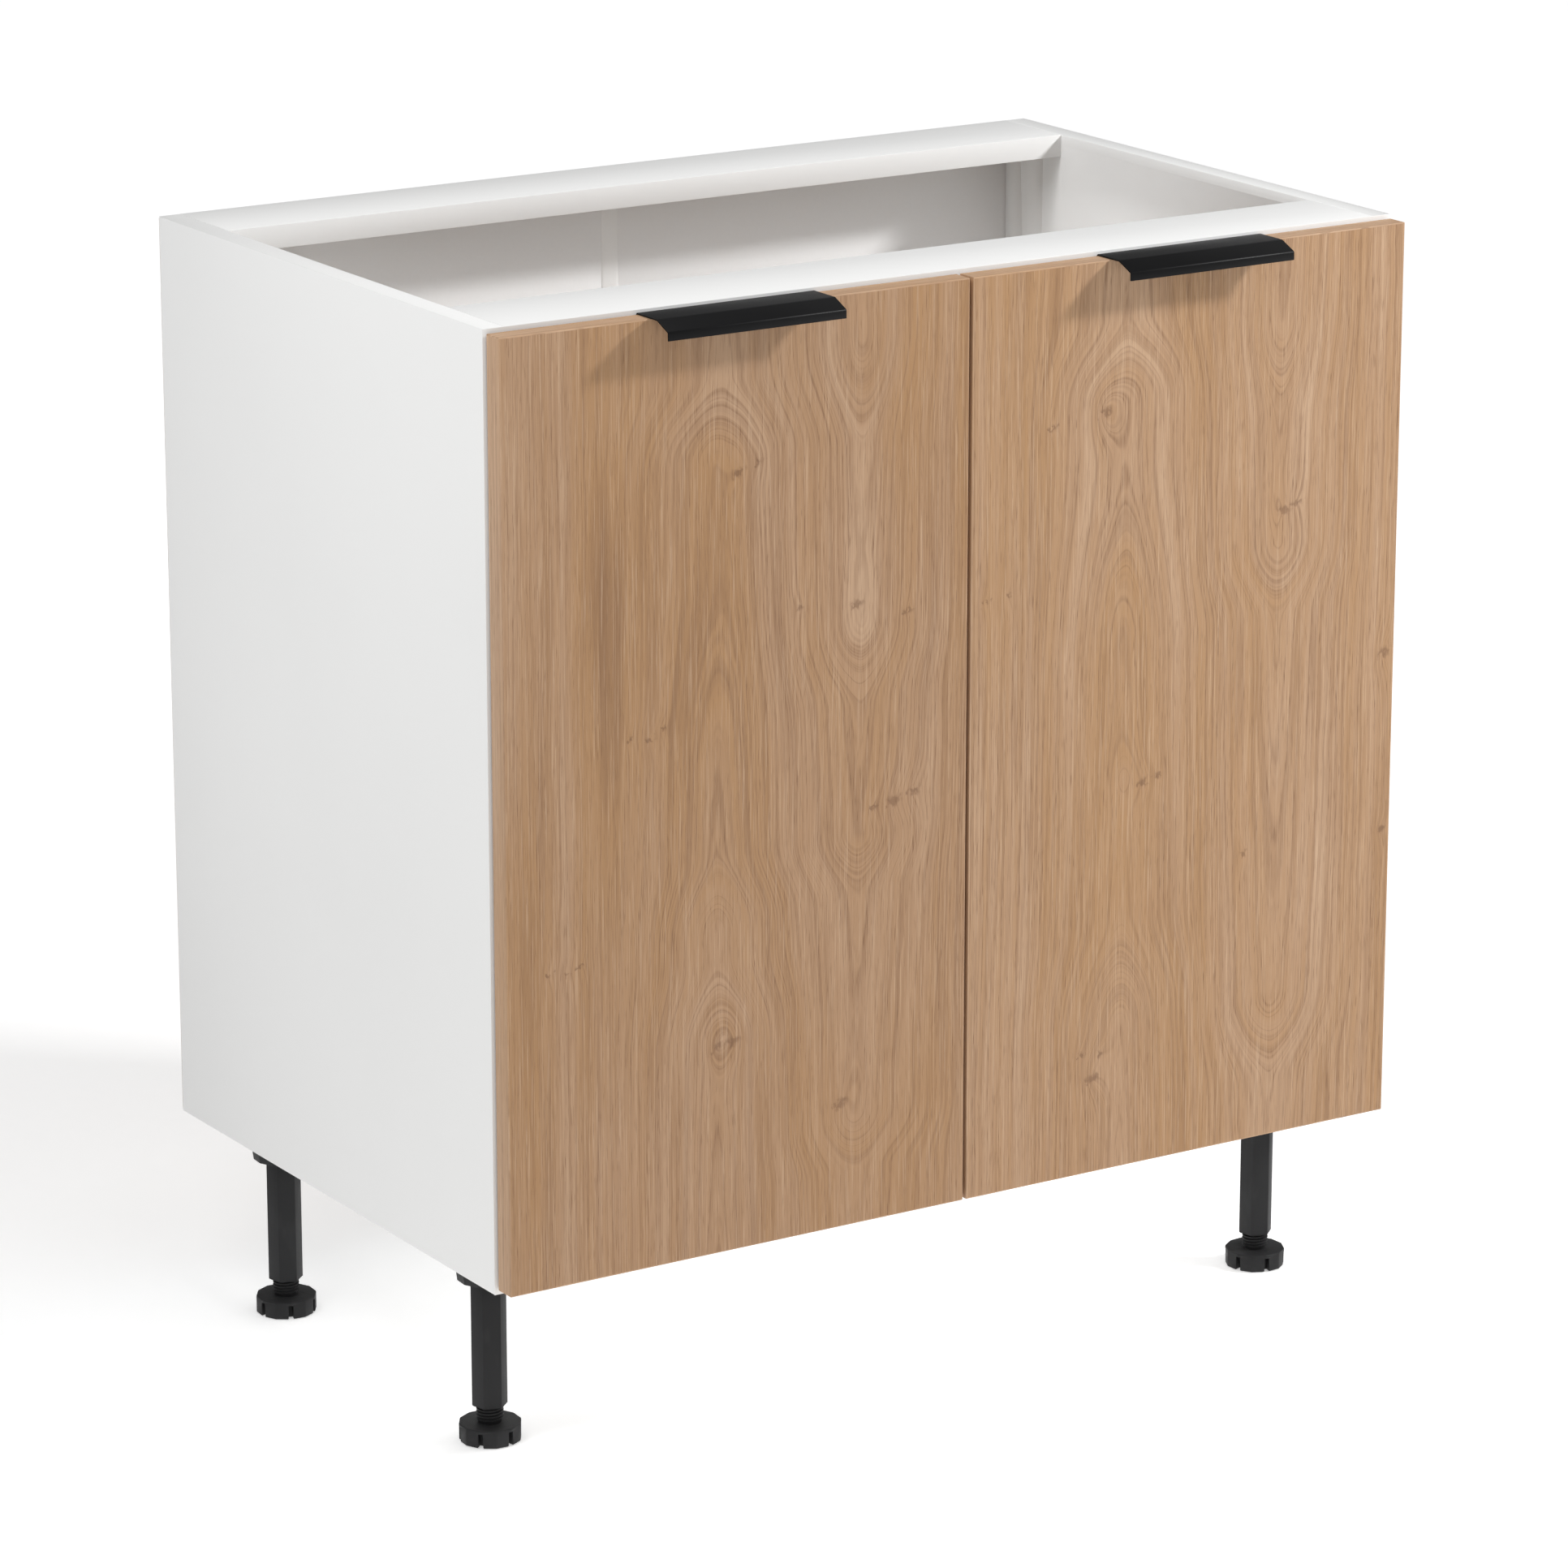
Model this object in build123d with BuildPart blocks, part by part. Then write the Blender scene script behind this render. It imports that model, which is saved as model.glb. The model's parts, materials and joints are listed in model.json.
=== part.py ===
import os
from math import atan2, cos, degrees, hypot, radians, sin

from build123d import *

os.makedirs("parts", exist_ok=True)

# All sizes are in millimetres. +X is to the right, +Y to the back, +Z up.

# Carcass boards
width = 800.0
carcass_height = 720.0
carcass_depth = 500.0
board = 18.0
band = 0.8
rail_depth = 80.0
back_thickness = 3.0
back_inset = 1.5

# Joint strip between the two back panels
strip_width = 15.0
strip_flange = 0.8
strip_web = 1.2
strip_play = 0.2

# Dowels, cam locks and nails of the carcass
hole_play = 0.05
dowel_radius = 4.0
dowel_length = 30.0
dowel_in_side = 11.0
dowel_pitch = 32.0
cam_radius = 7.5
cam_height = 12.5
cam_setback = 34.0
cam_recess = 1.6
cam_slot_play = 0.5
bolt_radius = 2.5
bolt_in_side = 11.0
bolt_collar_radius = 3.4
bolt_head_radius = 3.2
bolt_head_length = 3.0
bolt_bore_radius = 4.0
joint_inset = 60.0
rail_joint_inset = 24.0
nail_radius = 0.7
nail_length = 20.0
nail_head_radius = 1.6
nail_head = 0.8
nail_rows = 6
nail_columns = 3

# Shelf and its pins
shelf_play = 1.0
shelf_setback = 20.0
shelf_rear_gap = 4.0
shelf_height = 342.0
shelf_pin_radius = 2.5
shelf_pin_in_side = 9.0
shelf_pin_reach = 8.0
shelf_pin_inset = 50.0
shelf_hole_pitch = 32.0
shelf_hole_rows = 5

# Doors
door_thickness = 18.0
door_gap = 2.0
door_side_reveal = 2.0
door_top_reveal = 3.0
door_bottom_reveal = 4.0
door_middle_gap = 3.0
door_band = 1.0
door_band_round = 0.6
bumper_radius = 4.0
bumper_inset = 9.0
bumper_play = 0.1

# Edge-pull handles
handle_length = 150.0
handle_sheet = 1.2
handle_reach = 25.0
handle_shelf = 9.5
handle_slope_drop = 6.0
handle_drop = 12.0
handle_leg = 20.0
handle_bend = 0.5
handle_screw_spacing = 96.0
handle_screw_drop = 12.0
handle_screw_radius = 1.6
handle_screw_length = 12.0
handle_screw_head_radius = 2.8

# Concealed hinges: the cup in the door
hinge_inset = 100.0
cup_radius = 17.5
cup_tab = 4.0
cup_depth = 12.5
cup_wall = 1.2
cup_floor = 1.0
cup_play = 0.1
cup_slot_half = 8.2
cup_flange = 1.0
cup_flange_rim = 0.8
cup_ear_radius = 5.0
cup_screw_offset = 9.5
cup_screw_spacing = 45.0
cup_screw_radius = 1.7
cup_screw_length = 12.0
cup_screw_head_radius = 3.2
cup_screw_head = 1.4

# Concealed hinges: link pivots, seen from above, from the cup's centre on the door's rear face
arm_pivot_outer = (8.5, 6.1)
cup_pivot_outer = (-10.3, -2.3)
arm_pivot_inner = (11.5, -7.9)
cup_pivot_inner = (-7.1, -6.6)
outer_bow = 5.0
inner_bow = 2.1
door_opening = 95.0
outer_link_turn = 41.0
inner_link_turn = 33.0
pin_radius = 1.0
pin_play = 0.05
pin_in_cup = 3.0
open_pivot_play = 0.3
open_pivot_steps = 20

# Concealed hinges: links, arm and mounting plate
inner_link_width = 3.0
arm_half = 5.9
arm_wall = 1.4
layer_gap = 0.3
cheek_thickness = 1.4
outer_link_width = 3.3
outer_web_length = 5.0
outer_web_at = 0.3
outer_web_thickness = 1.2
nose_radius = 2.2
nose_web_stop = 5.0
arm_length = 70.0
arm_height = 10.3
arm_bend_at = 30.0
arm_seat_at = 26.0
plate_thickness = 2.2
plate_start = 24.0
plate_half = 7.0
plate_wing_length = 50.0
plate_wing_width = 16.0
plate_screw_at = 37.0
plate_screw_spacing = 32.0
plate_screw_radius = 2.5
plate_screw_length = 11.0
plate_screw_head_radius = 4.4
plate_screw_head = 1.6
plate_rail_start = 30.0
rail_play = 0.3
clamp_screw_at = 60.0
adjust_screw_at = 44.0
clamp_screw_radius = 2.0
clamp_screw_length = 7.0
clamp_screw_head_radius = 3.4
clamp_screw_head = 2.0

# Legs
leg_height = 150.0
leg_side_inset = 44.0
leg_front_inset = 87.0
leg_rear_inset = 89.0
socket_radius = 23.5
socket_sides = 12
socket_depth = 22.0
socket_draft = 2.5
socket_flange = 4.0
socket_flange_radius = 31.0
socket_screw_circle = 26.6
socket_screw_count = 4
socket_screw_turn = 45.0
socket_screw_radius = 1.9
socket_screw_length = 15.0
socket_screw_head_radius = 3.2
socket_screw_head = 1.6
socket_screw_room = 0.6
spigot_radius = 9.0
spigot_height = 14.0
column_flats = 23.6
column_sides = 6
column_end = 26.5
column_chamfer = 1.0
column_turn = 41.3
stem_radius = 10.4
stem_play = 0.15
stem_engaged = 36.0
stem_bore_spare = 14.0
foot_radius = 24.0
foot_sides = 12
foot_height = 14.0
foot_slot = 3.8
foot_slot_depth = 6.0
foot_slot_top = 2.6
foot_slots = 6
foot_turns = {"front_left": 42.0, "front_right": 19.0, "rear_left": 11.0, "rear_right": 33.0}

# Places worked out from the sizes above
half_width = width / 2
inner_x = half_width - board
total_depth = handle_reach + door_thickness + door_gap + carcass_depth
door_front_y = handle_reach - total_depth / 2
door_back_y = door_front_y + door_thickness
front_y = door_back_y + door_gap
back_y = front_y + carcass_depth
back_face_y = back_y - strip_flange
board_front_y = front_y + band
board_back_y = back_face_y - back_thickness
board_depth = board_back_y - board_front_y
board_mid_y = (board_front_y + board_back_y) / 2
base_z = leg_height
top_z = base_z + carcass_height
carcass_mid_z = (base_z + top_z) / 2
bottom_mid_z = base_z + board / 2
rail_mid_z = top_z - board / 2
front_rail_back_y = front_y + rail_depth
rear_rail_front_y = board_back_y - rail_depth
shelf_z = base_z + shelf_height
shelf_front_y = board_front_y + shelf_setback
shelf_back_y = board_back_y - shelf_rear_gap

door_z = base_z + door_bottom_reveal
door_top_z = top_z - door_top_reveal
door_height = door_top_z - door_z
door_mid_z = (door_z + door_top_z) / 2
door_outer_x = -half_width + door_side_reveal
door_inner_x = -door_middle_gap / 2
door_width = door_inner_x - door_outer_x
door_mid_x = (door_inner_x + door_outer_x) / 2
hinge_levels = {"upper": door_top_z - hinge_inset, "lower": door_z + hinge_inset}
cup_x = door_outer_x + cup_tab + cup_radius

# Hinge plan frame: origin at the cup's centre on the door's rear face
side_face = -inner_x - cup_x
arm_seat = side_face + plate_thickness
arm_top = arm_seat + arm_height
arm_back = door_gap + arm_length
arm_inside = arm_half - arm_wall
inner_link_half = arm_inside - layer_gap
cheek_inside = arm_half + layer_gap
cheek_outside = cheek_inside + cheek_thickness

leg_places = {
    "front_left": (-half_width + leg_side_inset, front_y + leg_front_inset),
    "front_right": (half_width - leg_side_inset, front_y + leg_front_inset),
    "rear_left": (-half_width + leg_side_inset, back_y - leg_rear_inset),
    "rear_right": (half_width - leg_side_inset, back_y - leg_rear_inset),
}
socket_z = base_z - socket_depth
flange_z = base_z - socket_flange

# Joint places on a side panel, as (y, z): cam bolts and, a pitch further in, dowels
cam_points = [
    (board_front_y + joint_inset, bottom_mid_z),
    (board_back_y - joint_inset, bottom_mid_z),
    (board_front_y + rail_joint_inset, rail_mid_z),
    (rear_rail_front_y + rail_joint_inset, rail_mid_z),
]
dowel_points = [
    (board_front_y + joint_inset + dowel_pitch, bottom_mid_z),
    (board_back_y - joint_inset - dowel_pitch, bottom_mid_z),
    (board_front_y + rail_joint_inset + dowel_pitch, rail_mid_z),
    (rear_rail_front_y + rail_joint_inset + dowel_pitch, rail_mid_z),
]
shelf_pin_points = [
    (shelf_front_y + shelf_pin_inset, shelf_z - shelf_pin_radius),
    (shelf_back_y - shelf_pin_inset, shelf_z - shelf_pin_radius),
]
plate_screw_points = [
    (front_y + plate_screw_at, level + up * plate_screw_spacing / 2)
    for level in hinge_levels.values()
    for up in (-1, 1)
]

bottom_edge = (Align.CENTER, Align.CENTER, Align.MIN)


def write(piece, name):
    piece.part.label = name
    export_step(piece.part, f"parts/{name}.step")


def mirrored(piece):
    with BuildPart() as other:
        mirror(piece.part, about=Plane.YZ)
    return other


def both_sides(piece):
    with BuildPart() as pair:
        add(piece.part)
        mirror(piece.part, about=Plane.YZ)
    return pair


def block(x_range, y_range, z_range):
    with BuildPart() as piece:
        with BuildSketch(Plane.XY.offset(z_range[0])):
            with Locations(((x_range[0] + x_range[1]) / 2, (y_range[0] + y_range[1]) / 2)):
                Rectangle(x_range[1] - x_range[0], y_range[1] - y_range[0])
        extrude(amount=z_range[1] - z_range[0])
    return piece


def rod_x(points, radius, start, length, mode=Mode.ADD):
    # Round rods or bores along +X from start, at (y, z) points
    turn = 90 if length > 0 else -90
    with Locations(*[(start, y, z) for y, z in points]):
        Cylinder(radius, abs(length), rotation=(0, turn, 0), align=bottom_edge, mode=mode)


def rod_y(points, radius, start, length, mode=Mode.ADD):
    # Round rods or bores along +Y from start, at (x, z) points
    turn = -90 if length > 0 else 90
    with Locations(*[(x, start, z) for x, z in points]):
        Cylinder(radius, abs(length), rotation=(turn, 0, 0), align=bottom_edge, mode=mode)


def rod_z(points, radius, start, length, mode=Mode.ADD):
    # Round rods or bores along Z from start, at (x, y) points
    turn = 0 if length > 0 else 180
    with Locations(*[(x, y, start) for x, y in points]):
        Cylinder(radius, abs(length), rotation=(turn, 0, 0), align=bottom_edge, mode=mode)


def turned(point, about, angle):
    x, y = point[0] - about[0], point[1] - about[1]
    c, s = cos(radians(angle)), sin(radians(angle))
    return (about[0] + c * x - s * y, about[1] + s * x + c * y)


# Side panels, bottom and rails
def side_panel():
    # The left side, drilled on its inner face
    with BuildPart() as panel:
        with BuildSketch(Plane.YZ.offset(-half_width)):
            with Locations((board_mid_y, carcass_mid_z)):
                Rectangle(board_depth, carcass_height)
        extrude(amount=board)
        rod_x(cam_points, bolt_radius + hole_play, -inner_x, -bolt_in_side, Mode.SUBTRACT)
        rod_x(dowel_points, dowel_radius + hole_play, -inner_x, -dowel_in_side, Mode.SUBTRACT)
        plate_bore = plate_screw_radius + hole_play
        rod_x(plate_screw_points, plate_bore, -inner_x, -plate_screw_length, Mode.SUBTRACT)
        for row in range(shelf_hole_rows):
            rise = (row - (shelf_hole_rows - 1) / 2) * shelf_hole_pitch
            holes = [(y, z + rise) for y, z in shelf_pin_points]
            rod_x(holes, shelf_pin_radius + hole_play, -inner_x, -shelf_pin_in_side, Mode.SUBTRACT)
    return panel


def crossing_board(y_range, z_range, cams, dowels):
    # A board between the sides, with cam bores in its underside and bolt and dowel bores in its ends
    with BuildPart() as piece:
        with BuildSketch(Plane.XY.offset(z_range[0])):
            with Locations((0, (y_range[0] + y_range[1]) / 2)):
                Rectangle(2 * inner_x, y_range[1] - y_range[0])
        extrude(amount=z_range[1] - z_range[0])
        for end in (-1, 1):
            seats = [(end * (inner_x - cam_setback), y) for y, z in cams]
            rod_z(seats, cam_radius + hole_play, z_range[0], cam_height, Mode.SUBTRACT)
            rod_x(cams, bolt_bore_radius, end * inner_x, -end * cam_setback, Mode.SUBTRACT)
            bore = dowel_length - dowel_in_side
            rod_x(dowels, dowel_radius + hole_play, end * inner_x, -end * bore, Mode.SUBTRACT)
    return piece


side_left = side_panel()
write(side_left, "side_panel_left")
write(mirrored(side_left), "side_panel_right")

socket_screw_points = [
    turned((x + socket_screw_circle, y), (x, y), socket_screw_turn + 360 * index / socket_screw_count)
    for x, y in leg_places.values()
    for index in range(socket_screw_count)
]
bottom = crossing_board(
    (board_front_y, board_back_y), (base_z, base_z + board), cam_points[:2], dowel_points[:2]
)
with bottom:
    bore = socket_screw_length - socket_flange
    rod_z(socket_screw_points, socket_screw_radius + hole_play, base_z, bore, Mode.SUBTRACT)
write(bottom, "bottom_panel")

rail_rise = (top_z - board, top_z)
front_rail = crossing_board(
    (board_front_y, front_rail_back_y), rail_rise, cam_points[2:3], dowel_points[2:3]
)
write(front_rail, "front_rail")
rear_rail = crossing_board((rear_rail_front_y, board_back_y), rail_rise, cam_points[3:], dowel_points[3:])
write(rear_rail, "rear_rail")

# White edge bands on the front edges of the carcass boards and the shelf
shelf_half = inner_x - shelf_play
with BuildPart() as bands:
    for left, right, low, high, y in (
        (-half_width, -inner_x, base_z, top_z, front_y),
        (inner_x, half_width, base_z, top_z, front_y),
        (-inner_x, inner_x, base_z, base_z + board, front_y),
        (-inner_x, inner_x, top_z - board, top_z, front_y),
        (-shelf_half, shelf_half, shelf_z, shelf_z + board, shelf_front_y - band),
    ):
        with BuildSketch(Plane.XZ.offset(-y - band)):
            with Locations(((left + right) / 2, (low + high) / 2)):
                Rectangle(right - left, high - low)
        extrude(amount=band)
write(bands, "carcass_edge_bands")

# Back panels, joint strip and nails
panel_edge = strip_web / 2 + strip_play
back_left = block(
    (-half_width + back_inset, -panel_edge),
    (board_back_y, back_face_y),
    (base_z + back_inset, top_z - back_inset),
)
write(back_left, "back_panel_left")
write(mirrored(back_left), "back_panel_right")

strip_low = base_z + board + strip_play
strip_high = top_z - board - strip_play
with BuildPart() as strip:
    with BuildSketch(Plane.XY.offset(strip_low)):
        with Locations((0, (board_back_y + back_face_y) / 2)):
            Rectangle(strip_web, back_thickness)
        with Locations((0, board_back_y - strip_flange / 2), (0, back_face_y + strip_flange / 2)):
            Rectangle(strip_width, strip_flange)
    extrude(amount=strip_high - strip_low)
write(strip, "back_joint_strip")

nail_points = []
for row in range(nail_rows):
    nail_z = base_z + carcass_height * (2 * row + 1) / (2 * nail_rows)
    nail_points.append((-half_width + board / 2, nail_z))
for column in range(nail_columns):
    nail_x = -inner_x * (2 * column + 1) / (2 * nail_columns)
    nail_points.append((nail_x, bottom_mid_z))
    nail_points.append((nail_x, rail_mid_z))
with BuildPart() as nails_left:
    rod_y(nail_points, nail_radius, back_face_y, -nail_length)
    rod_y(nail_points, nail_head_radius, back_face_y, nail_head)
write(both_sides(nails_left), "back_nails")

# Dowels, cam bolts and cam locks
with BuildPart() as dowels_left:
    rod_x(dowel_points, dowel_radius, -inner_x - dowel_in_side, dowel_length)
write(both_sides(dowels_left), "dowels")

bolt_length = bolt_in_side + cam_setback + bolt_head_length / 2
with BuildPart() as bolts_left:
    rod_x(cam_points, bolt_radius, -inner_x - bolt_in_side, bolt_length)
    rod_x(cam_points, bolt_collar_radius, -inner_x, bolt_head_length / 2)
    rod_x(cam_points, bolt_head_radius, -inner_x + cam_setback - bolt_head_length / 2, bolt_head_length)
write(both_sides(bolts_left), "cam_bolts")

neck_slot = 2 * (bolt_radius + cam_slot_play)
head_slot = 2 * (bolt_head_radius + cam_slot_play)
with BuildPart() as cams_left:
    for y, z in cam_points:
        low = z - board / 2
        seat = (-inner_x + cam_setback, y)
        rod_z([seat], cam_radius, low, cam_height)
        # Throat for the bolt's neck, pocket for its head, and the cross recess that turns the cam
        with Locations((seat[0] - cam_radius / 2, y, z)):
            Box(cam_radius, neck_slot, head_slot, mode=Mode.SUBTRACT)
        with Locations((seat[0], y, z)):
            Box(2 * bolt_head_length, head_slot, head_slot, mode=Mode.SUBTRACT)
        with Locations((seat[0], y, low)):
            Box(cam_radius, cam_recess, 2 * cam_recess, mode=Mode.SUBTRACT)
            Box(cam_recess, cam_radius, 2 * cam_recess, mode=Mode.SUBTRACT)
write(both_sides(cams_left), "cam_locks")

# Shelf on its pins
shelf = block((-shelf_half, shelf_half), (shelf_front_y, shelf_back_y), (shelf_z, shelf_z + board))
write(shelf, "shelf")
with BuildPart() as shelf_pins_left:
    pin_length = shelf_pin_in_side + shelf_pin_reach
    rod_x(shelf_pin_points, shelf_pin_radius, -inner_x - shelf_pin_in_side, pin_length)
write(both_sides(shelf_pins_left), "shelf_pins")


# Doors, with bores for the cups and screws in the rear face
cup_centres = [(cup_x, level) for level in hinge_levels.values()]
cup_screw_points = [
    (x + cup_screw_offset, z + up * cup_screw_spacing / 2) for x, z in cup_centres for up in (-1, 1)
]
handle_screw_points = [
    (door_mid_x + side * handle_screw_spacing / 2, door_top_z - handle_screw_drop) for side in (-1, 1)
]
with BuildPart() as door_left:
    with BuildSketch(Plane.XZ.offset(-door_back_y)):
        with Locations((door_mid_x, door_mid_z)):
            Rectangle(door_width - 2 * door_band, door_height - 2 * door_band)
    extrude(amount=door_thickness)
    rod_y(cup_centres, cup_radius + cup_play, door_back_y, -cup_depth - cup_play, Mode.SUBTRACT)
    rod_y(cup_screw_points, cup_screw_radius + hole_play, door_back_y, -cup_screw_length, Mode.SUBTRACT)
    handle_bore = handle_screw_radius + hole_play
    rod_y(handle_screw_points, handle_bore, door_back_y, -handle_screw_length, Mode.SUBTRACT)
write(door_left, "door_left")
write(mirrored(door_left), "door_right")

# Edge bands of the door: uprights over the full height, the other two between them
door_mid_y = (door_front_y + door_back_y) / 2
with BuildPart() as door_bands_left:
    for end in (-1, 1):
        with Locations((door_mid_x + end * (door_width - door_band) / 2, door_mid_y, door_mid_z)):
            Box(door_band, door_thickness, door_height)
        long_edges = door_bands_left.edges(Select.LAST).filter_by(Axis.Z)
        fillet(long_edges.sort_by(Axis.X, reverse=end > 0)[:2], door_band_round)
    for end in (-1, 1):
        with Locations((door_mid_x, door_mid_y, door_mid_z + end * (door_height - door_band) / 2)):
            Box(door_width - 2 * door_band, door_thickness, door_band)
        long_edges = door_bands_left.edges(Select.LAST).filter_by(Axis.X)
        fillet(long_edges.sort_by(Axis.Z, reverse=end > 0)[:2], door_band_round)
write(door_bands_left, "door_edge_bands_left")
write(mirrored(door_bands_left), "door_edge_bands_right")

bumper_points = [(door_inner_x - bumper_inset, z) for z in (bottom_mid_z, rail_mid_z)]
with BuildPart() as bumpers_left:
    rod_y(bumper_points, bumper_radius, door_back_y, door_gap - bumper_play)
write(bumpers_left, "door_bumpers_left")
write(mirrored(bumpers_left), "door_bumpers_right")


# Handle: one folded sheet over the door's top edge, with a finger lip in front
def countersinks(play, mode=Mode.ADD):
    # The cones of the handle screws' heads, flush with the sheet's rear face
    with Locations(*[(x, door_back_y, z) for x, z in handle_screw_points]):
        Cone(
            handle_screw_radius + play,
            handle_screw_head_radius + play,
            handle_sheet,
            rotation=(-90, 0, 0),
            align=bottom_edge,
            mode=mode,
        )


sheet_mid = handle_sheet / 2
lip_y = door_front_y - handle_reach + sheet_mid
handle_top = door_top_z + sheet_mid
with BuildPart() as handle_left:
    with BuildSketch(Plane.YZ.offset(door_mid_x - handle_length / 2)):
        with BuildLine():
            FilletPolyline(
                (door_back_y + sheet_mid, door_top_z - handle_leg),
                (door_back_y + sheet_mid, handle_top),
                (door_front_y - handle_shelf, handle_top),
                (lip_y, door_top_z - handle_slope_drop),
                (lip_y, door_top_z - handle_drop),
                radius=handle_bend + sheet_mid,
            )
        trace(line_width=handle_sheet)
    extrude(amount=handle_length)
    countersinks(hole_play, Mode.SUBTRACT)
write(handle_left, "handle_left")
write(mirrored(handle_left), "handle_right")

with BuildPart() as handle_screws_left:
    rod_y(handle_screw_points, handle_screw_radius, door_back_y, -handle_screw_length)
    countersinks(0)
write(handle_screws_left, "handle_screws_left")
write(mirrored(handle_screws_left), "handle_screws_right")


# Concealed hinges
def hinge_plan(level, rise=0.0):
    return Plane(origin=(cup_x, door_back_y, level + rise), x_dir=(1, 0, 0), z_dir=(0, 0, 1))


def bowed(start, end, bow):
    # An arc from start to end that stands off to the right of its chord by bow
    dx, dy = end[0] - start[0], end[1] - start[1]
    reach = hypot(dx, dy)
    middle = ((start[0] + end[0]) / 2 + bow * dy / reach, (start[1] + end[1]) / 2 - bow * dx / reach)
    return Edge.make_three_point_arc(start, middle, end)


def pin_at(point, level, half_length, radius, mode=Mode.ADD):
    place = (cup_x + point[0], door_back_y + point[1])
    rod_z([place], radius, level - half_length, 2 * half_length, mode)


def hinge_cup(level):
    # A cast cup: round outside, with a slot for the links between two blocks that hold the pins
    face = Plane(origin=(cup_x, door_back_y, level), x_dir=(1, 0, 0), z_dir=(0, -1, 0))
    with BuildPart() as cup:
        with BuildSketch(face):
            Circle(cup_radius)
        extrude(amount=cup_depth)
        with BuildSketch(face):
            Circle(cup_radius + cup_flange_rim)
            with Locations(*[(cup_screw_offset, up * cup_screw_spacing / 2) for up in (-1, 1)]):
                Circle(cup_ear_radius)
            make_hull()
        extrude(amount=-cup_flange)
        with BuildSketch(face.offset(-cup_flange)):
            Circle(cup_radius - cup_wall)
            Rectangle(2 * cup_radius, 2 * cup_slot_half, mode=Mode.INTERSECT)
        extrude(amount=cup_flange + cup_depth - cup_floor, mode=Mode.SUBTRACT)
        pin_half = cup_slot_half + pin_in_cup
        for pivot in (cup_pivot_outer, cup_pivot_inner):
            pin_at(pivot, level, pin_half, pin_radius + hole_play, Mode.SUBTRACT)
        ears = [(cup_x + cup_screw_offset, level + up * cup_screw_spacing / 2) for up in (-1, 1)]
        rod_y(ears, cup_screw_radius + hole_play, door_back_y, cup_flange, Mode.SUBTRACT)
    return cup


def outer_link(level):
    # Two bowed cheeks outside the arm, joined by a web
    arc = bowed(cup_pivot_outer, arm_pivot_outer, outer_bow)
    web = arc @ outer_web_at
    run = arc % outer_web_at
    web_angle = degrees(atan2(run.Y, run.X))
    with BuildPart() as link:
        for rise in (-cheek_outside, cheek_inside):
            with BuildSketch(hinge_plan(level, rise)):
                SlotArc(arc, outer_link_width)
            extrude(amount=cheek_thickness)
        with BuildSketch(hinge_plan(level, -cheek_inside)):
            with Locations(Location((web.X, web.Y, 0), (0, 0, web_angle))):
                Rectangle(outer_web_length, outer_web_thickness)
        extrude(amount=2 * cheek_inside)
        for pivot in (cup_pivot_outer, arm_pivot_outer):
            pin_at(pivot, level, cheek_outside, pin_radius + pin_play, Mode.SUBTRACT)
    return link


def inner_link(level):
    # One solid bar between the arm's walls. Its cup end is cut back round the path of the cup's pin
    arc = bowed(cup_pivot_inner, arm_pivot_inner, inner_bow)
    with BuildPart() as link:
        with BuildSketch(hinge_plan(level, -inner_link_half)):
            SlotArc(arc, inner_link_width)
            for step in range(open_pivot_steps + 1):
                share = step / open_pivot_steps
                hung = turned(cup_pivot_outer, arm_pivot_outer, outer_link_turn * share)
                swung = turned(cup_pivot_inner, cup_pivot_outer, -door_opening * share)
                pin = (swung[0] + hung[0] - cup_pivot_outer[0], swung[1] + hung[1] - cup_pivot_outer[1])
                with Locations(turned(pin, arm_pivot_inner, -inner_link_turn * share)):
                    Circle(pin_radius + open_pivot_play, mode=Mode.SUBTRACT)
        extrude(amount=2 * inner_link_half)
        pin_at(arm_pivot_inner, level, inner_link_half, pin_radius + pin_play, Mode.SUBTRACT)
    return link


def hinge_arm(level):
    # A folded channel on the mounting plate, with a nose that carries both links
    nose_top = arm_pivot_outer[0] + nose_radius
    tip_top = arm_pivot_inner[0] + nose_radius
    with BuildPart() as arm:
        for rise in (-arm_half, arm_inside):
            with BuildSketch(hinge_plan(level, rise)):
                Polygon(
                    (arm_seat, arm_back),
                    (arm_seat, door_gap + arm_seat_at),
                    (arm_pivot_outer[0] - nose_radius, arm_pivot_outer[1]),
                    (nose_top, arm_pivot_outer[1]),
                    (arm_top, door_gap + arm_bend_at),
                    (arm_top, arm_back),
                    align=None,
                )
                SlotArc(Edge.make_line(arm_pivot_outer, arm_pivot_inner), 2 * nose_radius)
            extrude(amount=arm_wall)
        with BuildSketch(hinge_plan(level, -arm_inside)):
            Polygon(
                (arm_top, arm_back),
                (arm_top - arm_wall, arm_back),
                (arm_top - arm_wall, door_gap + arm_bend_at),
                (nose_top - arm_wall, arm_pivot_outer[1]),
                (tip_top - arm_wall, arm_pivot_inner[1] + nose_web_stop),
                (tip_top, arm_pivot_inner[1] + nose_web_stop),
                (nose_top, arm_pivot_outer[1]),
                (arm_top, door_gap + arm_bend_at),
                align=None,
            )
        extrude(amount=2 * arm_inside)
        for pivot in (arm_pivot_outer, arm_pivot_inner):
            pin_at(pivot, level, arm_half, pin_radius + hole_play, Mode.SUBTRACT)
        screws = [(front_y + at, level) for at in (clamp_screw_at, adjust_screw_at)]
        rod_x(screws, clamp_screw_radius + hole_play, cup_x + arm_top, -arm_wall, Mode.SUBTRACT)
    return arm


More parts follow.
